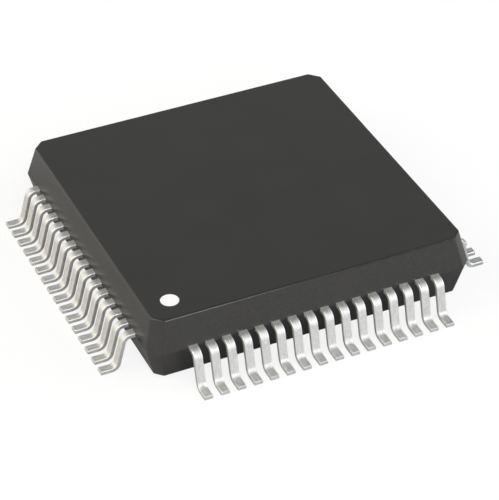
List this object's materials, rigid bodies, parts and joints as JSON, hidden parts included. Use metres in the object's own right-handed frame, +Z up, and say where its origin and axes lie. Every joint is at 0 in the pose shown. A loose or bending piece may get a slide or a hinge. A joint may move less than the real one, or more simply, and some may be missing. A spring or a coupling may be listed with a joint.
{
  "type": "quad flat pack chip",
  "caption": "Square surface-mount chip package: matt dark moulded body with cut corners, gull-wing leads on all four sides and a white dot at the first pin",
  "frame": {"origin": "on the plane that the feet stand on, under the centre of the body", "axes": "+Z up through the top face; leads 1 to 16 stand out to -Y, 17 to 32 to +X, 33 to 48 to +Y and 49 to 64 to -X; the dot is at the corner at -X -Y"},
  "size_m": [0.0122, 0.0122, 0.0021],
  "materials": {
    "moulded_epoxy": "fine matt moulded epoxy, dark grey",
    "white_ink": "matt white ink",
    "tin_plated_leads": "satin tin plating over copper alloy",
    "copper_alloy": "bare stamped copper alloy",
    "die_adhesive": "cured silver-filled adhesive",
    "silicon": "sawn and polished silicon"
  },
  "bodies": {
    "root": {"moulded_body": "moulded_epoxy", "pin_one_mark": "white_ink", "leads_front": "tin_plated_leads", "leads_right": "tin_plated_leads", "leads_back": "tin_plated_leads", "leads_left": "tin_plated_leads", "die_paddle": "copper_alloy", "die_attach": "die_adhesive", "silicon_die": "silicon"}
  },
  "joints": []
}
